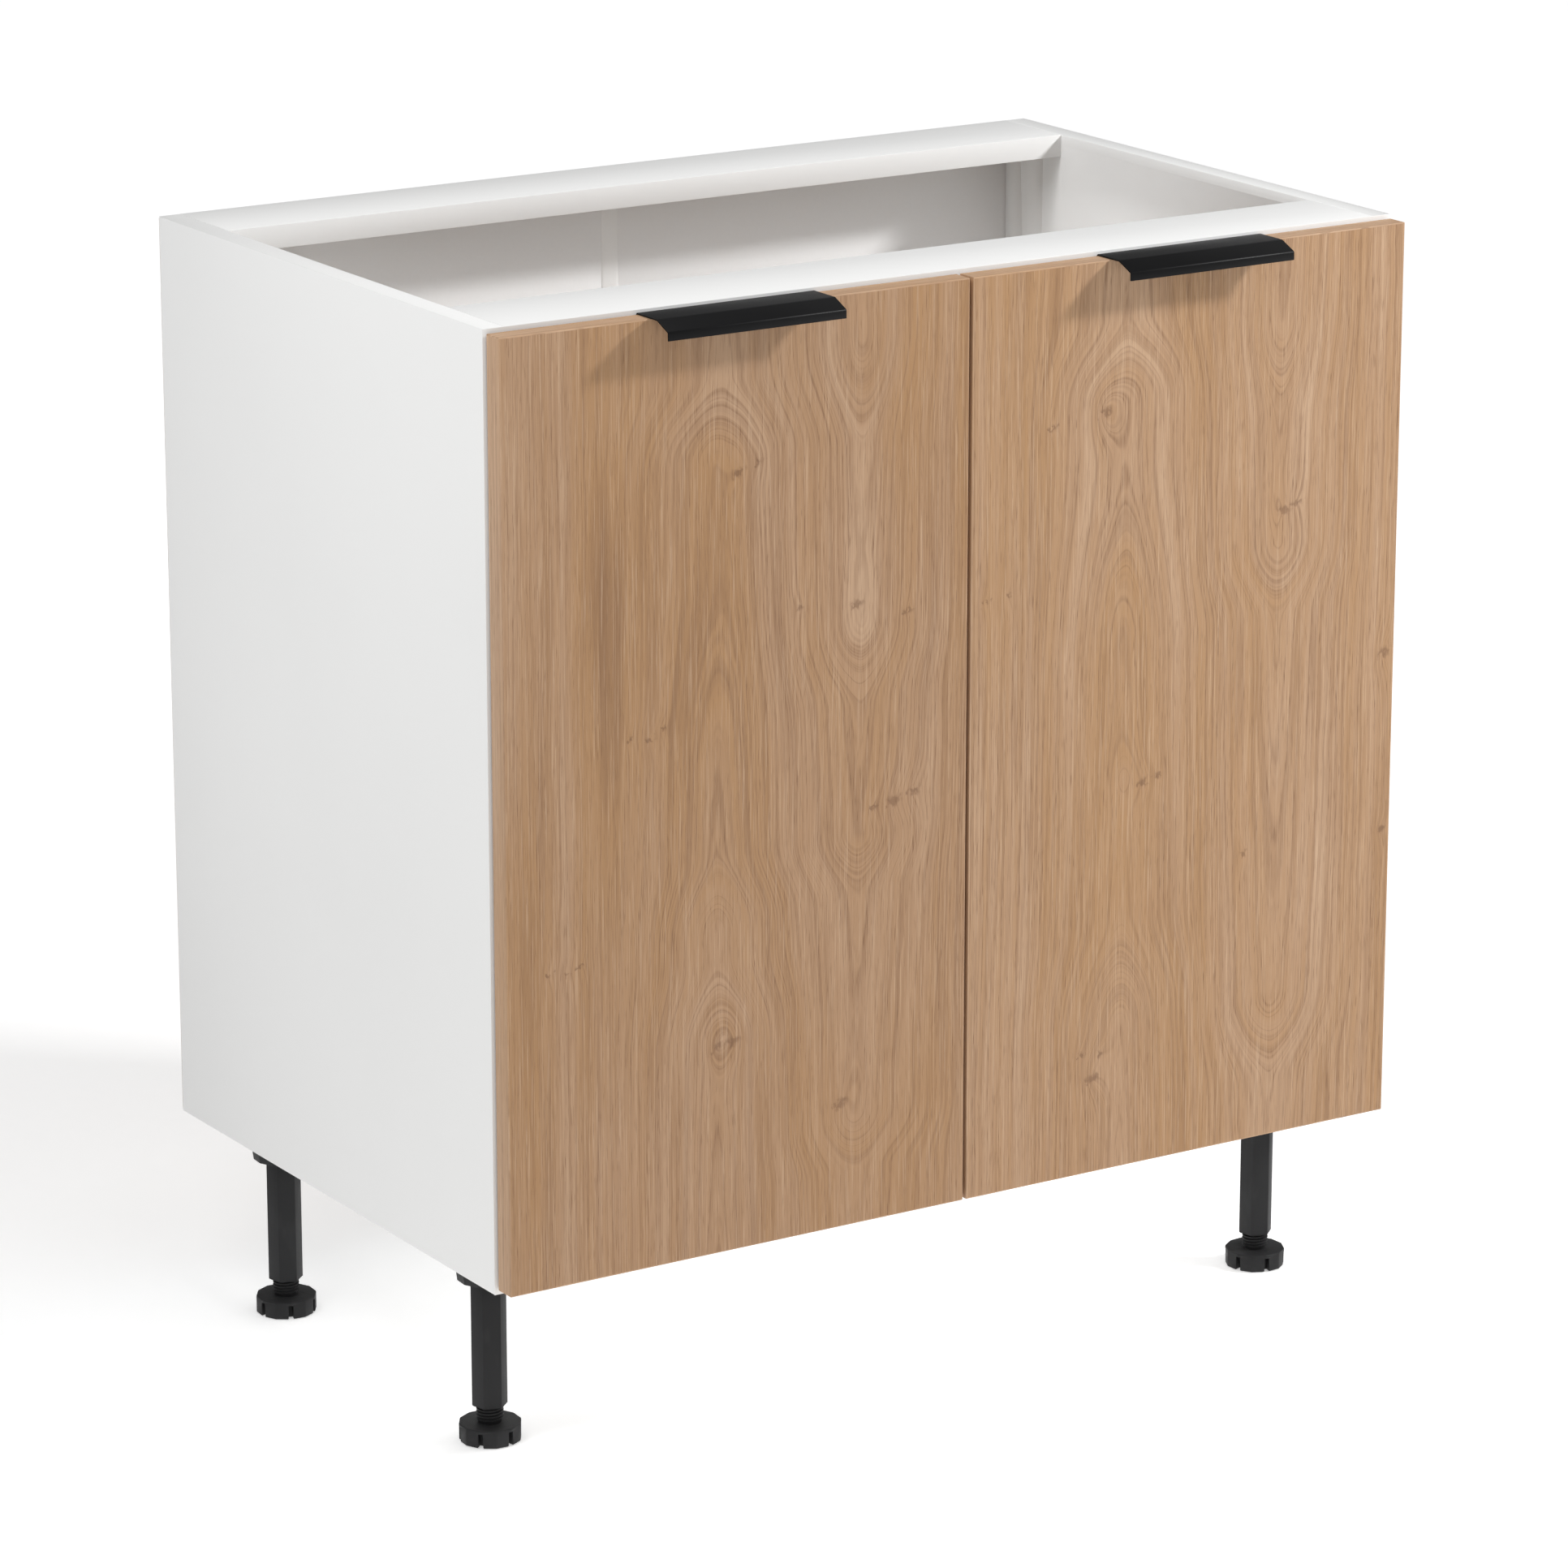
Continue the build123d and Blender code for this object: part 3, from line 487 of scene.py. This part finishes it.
clearLook = {
    "transmission": 0.55, "ior": 1.45, "cloud": 400.0, "pale": (238, 238, 234), "grey": (220, 220, 214),
    "roughness": 0.22, "cloudDull": 0.15,
}


def clearMaterial(name):
    # soft clear bumpers
    look = clearLook
    material, shader, place = newMaterial(name, {"Transmission Weight": look["transmission"], "IOR": look["ior"]})
    cloud = place.noise(place, look["cloud"])
    feed(
        shader,
        Base_Color=place.mix(cloud, tint(*look["pale"]), tint(*look["grey"])),
        Roughness=look["roughness"] + cloud * look["cloudDull"],
    )
    return material


beechLook = {
    "specular": 0.3, "fibre": (40.0, 900.0, 900.0), "pale": (206, 170, 128), "dark": (178, 138, 96),
    "roughness": 0.6, "fibreDull": 0.1,
}


def beechMaterial(name):
    look = beechLook
    material, shader, place = newMaterial(name, {"Specular IOR Level": look["specular"]})
    spot = place.vector(*(axis * scale for axis, scale in zip(place.axes(), look["fibre"])))
    fibre = place.noise(spot)
    feed(
        shader,
        Base_Color=place.mix(fibre, tint(*look["pale"]), tint(*look["dark"])),
        Roughness=look["roughness"] + fibre * look["fibreDull"],
    )
    return material


oak = {side: oakMaterial("oakFace" + side.title(), side) for side in oakDoors}
oakEdge = {side: oakMaterial("oakEdge" + side.title(), side, edge=True) for side in oakDoors}
finishes = {
    "white_melamine": melamineMaterial("whiteMelamine", (244, 244, 243), 0.36, 900.0),
    "white_plastic": melamineMaterial("whiteEdgeBand", (245, 245, 244), 0.32, 1500.0),
    "white_hardboard": hardboardMaterial("lacqueredHardboard", (244, 244, 244), (126, 98, 72)),
    "handle_black": coatedMaterial("blackPowderCoat", (12, 12, 13), (19, 19, 20)),
    "black_steel": metalMaterial("blackenedScrew", (52, 52, 54), (38, 38, 40), 0.35, 900.0),
    "black_plastic": plasticMaterial("blackLegPlastic", (36, 36, 37), (52, 52, 53)),
    "clear_plastic": clearMaterial("clearBumper"),
    "nickel_steel": metalMaterial("nickelSteel", (205, 203, 198), (180, 178, 174), 0.24, 700.0),
    "cast_zinc": metalMaterial("castZinc", (178, 178, 177), (150, 150, 150), 0.36, 500.0),
    "beech": beechMaterial("beechDowel"),
}


def finishFor(node):
    side = "left" if "left" in node else "right"
    if slotOf[node] == "oak_foil":
        return oak[side]
    if slotOf[node] == "oak_edge":
        return oakEdge[side]
    return finishes[slotOf[node]]


for name, node in nodes.items():
    node.data.materials.clear()
    node.data.materials.append(finishFor(name))
print("materials on", len(nodes), "nodes")


# new pieces; the mesh of a node is welded, and faces flatter than flat become one; angles in degrees
meshing = {"weld": 2e-6, "flat": 0.4, "arrisAngle": 25, "arrisSteps": 2, "smooth": 35}


def addPiece(name, bm, node, smooth=meshing["smooth"]):
    # a bmesh as a piece that stands for a CAD node and rides on its body
    mesh = bpy.data.meshes.new(name)
    bm.to_mesh(mesh)
    bm.free()
    mesh.materials.append(finishFor(node))
    piece = bpy.data.objects.new(name, mesh)
    bpy.context.scene.collection.objects.link(piece)
    for polygon in mesh.polygons:
        polygon.use_smooth = True
    mesh.set_sharp_from_angle(angle=math.radians(smooth))
    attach(piece, bodyOf[node])
    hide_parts(node)
    return piece


def camel(name):
    head, *rest = name.split("_")
    return head + "".join(word.title() for word in rest)


def vertsOf(geometry):
    return [g for g in geometry if isinstance(g, bmesh.types.BMVert)]


def weldedCopy(node):
    bm = bmesh.new()
    bm.from_mesh(nodes[node].data)
    bmesh.ops.remove_doubles(bm, verts=bm.verts, dist=meshing["weld"])
    return bm


def flatCopy(node):
    bm = weldedCopy(node)
    bmesh.ops.dissolve_limit(bm, angle_limit=math.radians(meshing["flat"]), verts=bm.verts, edges=bm.edges)
    return bm


def breakArrises(bm, width, shortest):
    # a bevel along the outside corners that are long enough
    steep = math.radians(meshing["arrisAngle"])
    arris = [
        e for e in bm.edges
        if len(e.link_faces) == 2 and e.is_convex and e.calc_face_angle(0.0) > steep and e.calc_length() > shortest
    ]
    bmesh.ops.bevel(
        bm, geom=arris, offset=width, segments=meshing["arrisSteps"], profile=0.5, affect="EDGES", material=-1,
        clamp_overlap=True,
    )


# rounded arrises: the boards' edges are broken by a fraction of a millimetre, which also shows the joints
arrises = {
    "side_panel_left": 0.0006, "side_panel_right": 0.0006, "bottom_panel": 0.0004,
    "front_rail": 0.0006, "rear_rail": 0.0006, "shelf": 0.0004, "carcass_edge_bands": 0.00025,
    "back_panel_left": 0.0003, "back_panel_right": 0.0003,
    "leg_sockets": 0.0006, "leg_column_front_left": 0.0007, "leg_column_front_right": 0.0007,
    "leg_column_rear_left": 0.0007, "leg_column_rear_right": 0.0007,
}
hingeArris = 0.0003
shortestArris = 0.0025
for side in ("left", "right"):
    for height in ("upper", "lower"):
        for kind in ("hinge_cup_", "hinge_arm_", "hinge_plate_"):
            arrises[kind + side + "_" + height] = hingeArris


def softenedCopy(node, width):
    bm = flatCopy(node)
    breakArrises(bm, width, shortestArris)
    return addPiece(camel("soft_" + node), bm, node)


softened = {name: softenedCopy(name, width) for name, width in arrises.items()}
print("softened", len(softened), "boards, legs and hinges")


# joint strip of the back: an H section whose front flange is crowned;
# crown: in from the flange's side, back from its face
stripSection = {
    "flange": 0.0008, "web": 0.0012,
    "crown": ((0.0, 0.00062), (0.0008, 0.00030), (0.0022, 0.00011), (0.0045, 0.0)),
}


def stripPiece():
    low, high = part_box("back_joint_strip")
    flange, web = stripSection["flange"], stripSection["web"] / 2
    middle = (low.x + high.x) / 2
    half = (high.x - low.x) / 2
    # the right half from the front face round to the back
    right = [(half - inset, low.y + sunk) for inset, sunk in reversed(stripSection["crown"])]
    right += [(half, low.y + flange), (web, low.y + flange)]
    right += [(web, high.y - flange), (half, high.y - flange), (half, high.y)]
    outline = right + [(-x, y) for x, y in reversed(right)]
    bm = bmesh.new()
    section = bm.faces.new([bm.verts.new((middle + x, y, low.z)) for x, y in outline])
    tops = vertsOf(bmesh.ops.extrude_face_region(bm, geom=[section])["geom"])
    bmesh.ops.translate(bm, verts=tops, vec=(0, 0, high.z - low.z))
    bmesh.ops.recalc_face_normals(bm, faces=bm.faces)
    return addPiece("jointStrip", bm, "back_joint_strip")


stripPiece()
print("joint strip drawn")


# edge pulls: one folded sheet, its section drawn as it is bent and pushed along the door;
# flat: reach of the top past the door; slope and lip: drop to where the sheet bends again and to its edge
handleSheet = {
    "thick": 0.0012, "bend": 0.0012, "bendSteps": 4, "flat": 0.0096, "slope": 0.0066, "lip": 0.0132,
    "arris": 0.0004, "rimAngle": 50, "smooth": 30,
}


def handlePiece(side):
    low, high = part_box("handle_" + side)
    front, back, top = low.y, high.y, high.z
    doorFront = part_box("door_" + side)[0].y
    # outer line of the section, from the tail behind the door to the lip: y, z
    corners = [
        (back, low.z), (back, top), (doorFront - handleSheet["flat"], top),
        (front, top - handleSheet["slope"]), (front, top - handleSheet["lip"]),
    ]
    bm = bmesh.new()
    line = [bm.verts.new((low.x, y, z)) for y, z in corners]
    for pair in zip(line, line[1:]):
        bm.edges.new(pair)
    bmesh.ops.bevel(
        bm, geom=line[1:-1], offset=handleSheet["bend"], segments=handleSheet["bendSteps"], profile=0.5,
        affect="VERTICES", material=-1,
    )
    moved = vertsOf(bmesh.ops.extrude_edge_only(bm, edges=bm.edges[:])["geom"])
    bmesh.ops.translate(bm, verts=moved, vec=(high.x - low.x, 0, 0))
    bmesh.ops.recalc_face_normals(bm, faces=bm.faces)
    highest = max(bm.faces, key=lambda f: f.calc_center_median().z)
    if highest.normal.z < 0:
        bmesh.ops.reverse_faces(bm, faces=bm.faces)
    bmesh.ops.solidify(bm, geom=bm.faces[:], thickness=handleSheet["thick"])
    bmesh.ops.recalc_face_normals(bm, faces=bm.faces)
    steep = math.radians(handleSheet["rimAngle"])
    rim = [e for e in bm.edges if e.is_convex and e.calc_face_angle(0.0) > steep]
    bmesh.ops.bevel(
        bm, geom=rim, offset=handleSheet["arris"], segments=meshing["arrisSteps"], profile=0.5, affect="EDGES",
        material=-1,
    )
    return addPiece("handle" + side.title(), bm, "handle_" + side, handleSheet["smooth"])


for side in ("left", "right"):
    handlePiece(side)
print("handles folded")


# screws: head height, shank radius, and the way the head faces
screwSets = {
    "cup_screws_left": (0.0014, 0.0017, "back"), "cup_screws_right": (0.0014, 0.0017, "back"),
    "hinge_plate_screws": (0.0016, 0.0025, "inward"), "hinge_arm_screws": (0.0020, 0.0020, "inward"),
    "leg_socket_screws": (0.0016, 0.0019, "down"),
    "handle_screws_left": (0.0012, 0.0016, "back"), "handle_screws_right": (0.0012, 0.0016, "back"),
}
# shares of the head's radius, apart from depth, a share of its height
screwShape = {"sides": 24, "recess": 0.56, "depth": 0.62, "taper": 0.7, "crown": 0.82, "middle": 0.05}


def looseBoxes(node):
    # the box of each loose solid in a node's mesh
    bm = weldedCopy(node)
    seen, boxes = set(), []
    for first in bm.verts:
        if first in seen:
            continue
        seen.add(first)
        loose = [first]
        for v in loose:
            for e in v.link_edges:
                other = e.other_vert(v)
                if other not in seen:
                    seen.add(other)
                    loose.append(other)
        boxes.append([Vector(pick(v.co[i] for v in loose) for i in range(3)) for pick in (min, max)])
    bm.free()
    return boxes


def screwMesh(radius, length, headHeight, shank, countersunk):
    # head upwards with its face at the origin: a cross recess pressed into a grid, and the turned outline below
    bm = bmesh.new()
    bmesh.ops.create_grid(bm, x_segments=3, y_segments=3, size=radius * screwShape["recess"])
    outer = [e for e in bm.edges if e.is_boundary]
    near = radius * screwShape["middle"]
    middles = {f: f.calc_center_median() for f in bm.faces}
    cross = [f for f, middle in middles.items() if min(abs(middle.x), abs(middle.y)) < near]
    pressed = vertsOf(bmesh.ops.extrude_face_region(bm, geom=cross)["geom"])
    bmesh.ops.delete(bm, geom=[f for f in cross if f.is_valid], context="FACES_ONLY")
    bmesh.ops.scale(bm, verts=pressed, vec=(screwShape["taper"], screwShape["taper"], 1))
    bmesh.ops.translate(bm, verts=pressed, vec=(0, 0, -headHeight * screwShape["depth"]))
    if countersunk:
        outline = [(radius, 0), (shank, -headHeight), (shank, -length)]
    else:
        outline = [
            (radius * screwShape["crown"], 0), (radius, -headHeight / 2), (radius, -headHeight),
            (shank, -headHeight), (shank, -length),
        ]
    ring = bmesh.ops.create_circle(bm, segments=screwShape["sides"], radius=outline[0][0])["verts"]
    edges = list(dict.fromkeys(e for v in ring for e in v.link_edges))
    bmesh.ops.bridge_loops(bm, edges=outer + edges)
    for (wide, high), (nextWide, nextHigh) in zip(outline, outline[1:]):
        grown = bmesh.ops.extrude_edge_only(bm, edges=edges)["geom"]
        edges = [g for g in grown if isinstance(g, bmesh.types.BMEdge)]
        bmesh.ops.scale(bm, verts=vertsOf(grown), vec=(nextWide / wide, nextWide / wide, 1))
        bmesh.ops.translate(bm, verts=vertsOf(grown), vec=(0, 0, nextHigh - high))
    bmesh.ops.edgeloop_fill(bm, edges=edges)
    bmesh.ops.recalc_face_normals(bm, faces=bm.faces)
    mesh = bpy.data.meshes.new("screw")
    bm.to_mesh(mesh)
    bm.free()
    return mesh


def screwPiece(node, headHeight, shank, facing):
    bm = bmesh.new()
    for low, high in looseBoxes(node):
        middle = (low + high) / 2
        half = (high - low) / 2
        if facing == "inward":
            out = Vector((-1 if middle.x > 0 else 1, 0, 0))
        else:
            out = Vector((0, 1, 0)) if facing == "back" else Vector((0, 0, -1))
        reach = abs(half.dot(out))
        radius = max(half - Vector(abs(c) * reach for c in out))
        mesh = screwMesh(radius, 2 * reach, headHeight, shank, node.startswith("handle"))
        before = len(bm.verts)
        bm.from_mesh(mesh)
        bpy.data.meshes.remove(mesh)
        bm.verts.ensure_lookup_table()
        turn = out.to_track_quat("Z", "Y").to_matrix().to_4x4()
        bmesh.ops.transform(bm, matrix=Matrix.Translation(middle + out * reach) @ turn, verts=bm.verts[before:])
    return addPiece(camel(node), bm, node)


for node, (headHeight, shank, facing) in screwSets.items():
    screwPiece(node, headHeight, shank, facing)
print("screws turned:", len(screwSets), "sets")


# levelling feet: slotted knob, stem core and a cut thread; in metres,
# apart from steps per turn, and the tooth's start and half widths, which are shares of the pitch
footThread = {
    "knobTop": 0.014, "clear": 0.0005, "knobArris": 0.0008, "shortestArris": 0.002, "stemSides": 40,
    "pitch": 0.0026, "crest": 0.01035, "root": 0.0089, "sink": 0.0003, "steps": 28,
    "start": 0.6, "crestHalf": 0.12, "rootHalf": 0.45,
}


def footPiece(place):
    node = "levelling_foot_" + place
    look = footThread
    low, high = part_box(node)
    bm = flatCopy(node)
    centre = Vector(((low.x + high.x) / 2, (low.y + high.y) / 2, 0))
    knobTop = look["knobTop"]
    # the plain stem goes: the knob keeps its top, closed across
    stem = [f for f in bm.faces if f.calc_center_median().z > knobTop + look["clear"]]
    bmesh.ops.delete(bm, geom=stem, context="FACES")
    bmesh.ops.edgeloop_fill(bm, edges=[e for e in bm.edges if e.is_boundary])
    breakArrises(bm, look["knobArris"], look["shortestArris"])
    # core of the stem
    bmesh.ops.create_cone(
        bm, cap_ends=True, segments=look["stemSides"], radius1=look["root"], radius2=look["root"],
        depth=high.z - knobTop, matrix=Matrix.Translation(centre + Vector((0, 0, (high.z + knobTop) / 2))),
    )
    # thread: a tooth turned up the stem, which ends a turn short of its top
    pitch, crest, root = look["pitch"], look["crest"], look["root"] - look["sink"]
    start = knobTop + pitch * look["start"]
    turns = int((high.z - start) / pitch) - 1
    tooth = [
        (root, -look["rootHalf"]), (crest, -look["crestHalf"]), (crest, look["crestHalf"]), (root, look["rootHalf"]),
    ]
    loop = [bm.verts.new(centre + Vector((r, 0, start + h * pitch))) for r, h in tooth]
    face = bm.faces.new(loop)
    bmesh.ops.spin(
        bm, geom=[face] + loop + face.edges[:], cent=centre, axis=(0, 0, 1), dvec=(0, 0, pitch / look["steps"]),
        angle=2 * math.pi * turns, steps=turns * look["steps"], use_merge=False, use_duplicate=False,
    )
    bmesh.ops.recalc_face_normals(bm, faces=bm.faces)
    return addPiece(camel("foot_" + place), bm, node)


for place in ("front_left", "front_right", "rear_left", "rear_right"):
    footPiece(place)
print("feet threaded")


# stage, light and camera; the paper sweep glows towards its edges
stageLook = {
    "floor": (252, 252, 252), "grain": (246, 246, 246), "grainScale": 60.0, "roughness": 0.8,
    "size": 14.0, "drop": 0.0004, "sky": 0.28,
    "glowNear": 0.42, "glowFar": 0.74, "near": 0.7, "far": 2.6,
}


def floorMaterial():
    look = stageLook
    material, shader, place = newMaterial("paleFloor", {"Emission Strength": 1.0, "Roughness": look["roughness"]})
    reach = place.make("ShaderNodeVectorMath", {"operation": "LENGTH"}, {0: place}, out="Value")
    glow = reach.span(look["near"], look["far"], look["glowNear"], look["glowFar"])
    paper = place.noise(place, look["grainScale"])
    feed(
        shader,
        Base_Color=place.mix(paper, tint(*look["floor"]), tint(*look["grain"])),
        Emission_Color=place.vector(glow, glow, glow),
    )
    # seen from below the paper is clear, so that the underside of the cabinet shows
    below = place.make("ShaderNodeNewGeometry", out="Backfacing")
    clear = place.make("ShaderNodeBsdfTransparent")
    paperSide = Flow(place.tree, shader.outputs[0])
    both = place.make("ShaderNodeMixShader", None, {0: below, 1: paperSide, 2: clear})
    place.tree.links.new(both.socket, place.tree.nodes["Material Output"].inputs["Surface"])
    return material


bm = bmesh.new()
bmesh.ops.create_grid(
    bm, x_segments=1, y_segments=1, size=stageLook["size"], matrix=Matrix.Translation((0, 0, -stageLook["drop"]))
)
floorMesh = bpy.data.meshes.new("floor")
bm.to_mesh(floorMesh)
bm.free()
floor = bpy.data.objects.new("floor", floorMesh)
bpy.context.scene.collection.objects.link(floor)
floorMesh.materials.append(floorMaterial())

bpy.context.scene.view_settings.view_transform = "Standard"
world = bpy.data.worlds.new("studio")
bpy.context.scene.world = world
world.use_nodes = True
world.node_tree.nodes["Background"].inputs["Color"].default_value = (1.0, 1.0, 1.0, 1.0)
world.node_tree.nodes["Background"].inputs["Strength"].default_value = stageLook["sky"]

lamps = {
    # place, aim, width, depth, power
    "keyLight": ((1.9, -1.3, 2.1), (0.0, -0.25, 0.75), 0.30, 0.30, 48.0),
    "sideLight": ((-1.30, -0.35, 2.00), (-0.4, 0.0, 0.6), 0.9, 0.9, 11.0),
    "openingLight": ((0.0, 0.02, 0.835), (0.0, 0.02, 0.0), 0.66, 0.24, 0.47),
    "topLight": ((-0.36, -0.05, 2.50), (-0.05, 0.0, 0.7), 0.40, 0.40, 5.5),
    "endLight": ((0.12, -0.15, 2.20), (0.39, 0.0, 0.85), 0.40, 0.40, 8.0),
}
# flags keep a lamp off the pieces it would burn out; the end light reaches the panel nearest the key alone
flags = {
    "keyLight": ("EXCLUDE", "side_panel_right"),
    "openingLight": ("EXCLUDE", "shelf"),
    "endLight": ("INCLUDE", "side_panel_right"),
}
for name, (place, aim, width, depth, power) in lamps.items():
    light = bpy.data.lights.new(name, "AREA")
    light.shape, light.size, light.size_y = "RECTANGLE", width, depth
    light.energy, light.spread = power, math.pi
    lamp = bpy.data.objects.new(name, light)
    lamp.location, lamp.visible_camera = place, False
    lamp.rotation_mode = "QUATERNION"
    lamp.rotation_quaternion = (Vector(aim) - Vector(place)).to_track_quat("-Z", "Y")
    bpy.context.scene.collection.objects.link(lamp)
    if name in flags:
        state, node = flags[name]
        flagged = bpy.data.collections.new(name + "Flag")
        lamp.light_linking.receiver_collection = flagged
        flagged.objects.link(softened[node])
        flagged.collection_objects[0].light_linking.link_state = state

# a camera fitted to the corners, feet and handles in the photo; angles in degrees, lens and sensor in millimetres
view = {
    "place": (-2.5911, -4.0782, 1.8003), "azimuth": -32.376, "elevation": 15.910, "lens": 147.84, "sensor": 36.0,
    "clip": (0.05, 100.0),
}
lens = bpy.data.cameras.new("photoView")
lens.sensor_width, lens.lens = view["sensor"], view["lens"]
lens.clip_start, lens.clip_end = view["clip"]
camera = bpy.data.objects.new("photoView", lens)
camera.location = view["place"]
camera.rotation_euler = (math.radians(90 - view["elevation"]), 0, math.radians(view["azimuth"]))
bpy.context.scene.collection.objects.link(camera)
bpy.context.scene.camera = camera
print("stage, lamps and camera set")
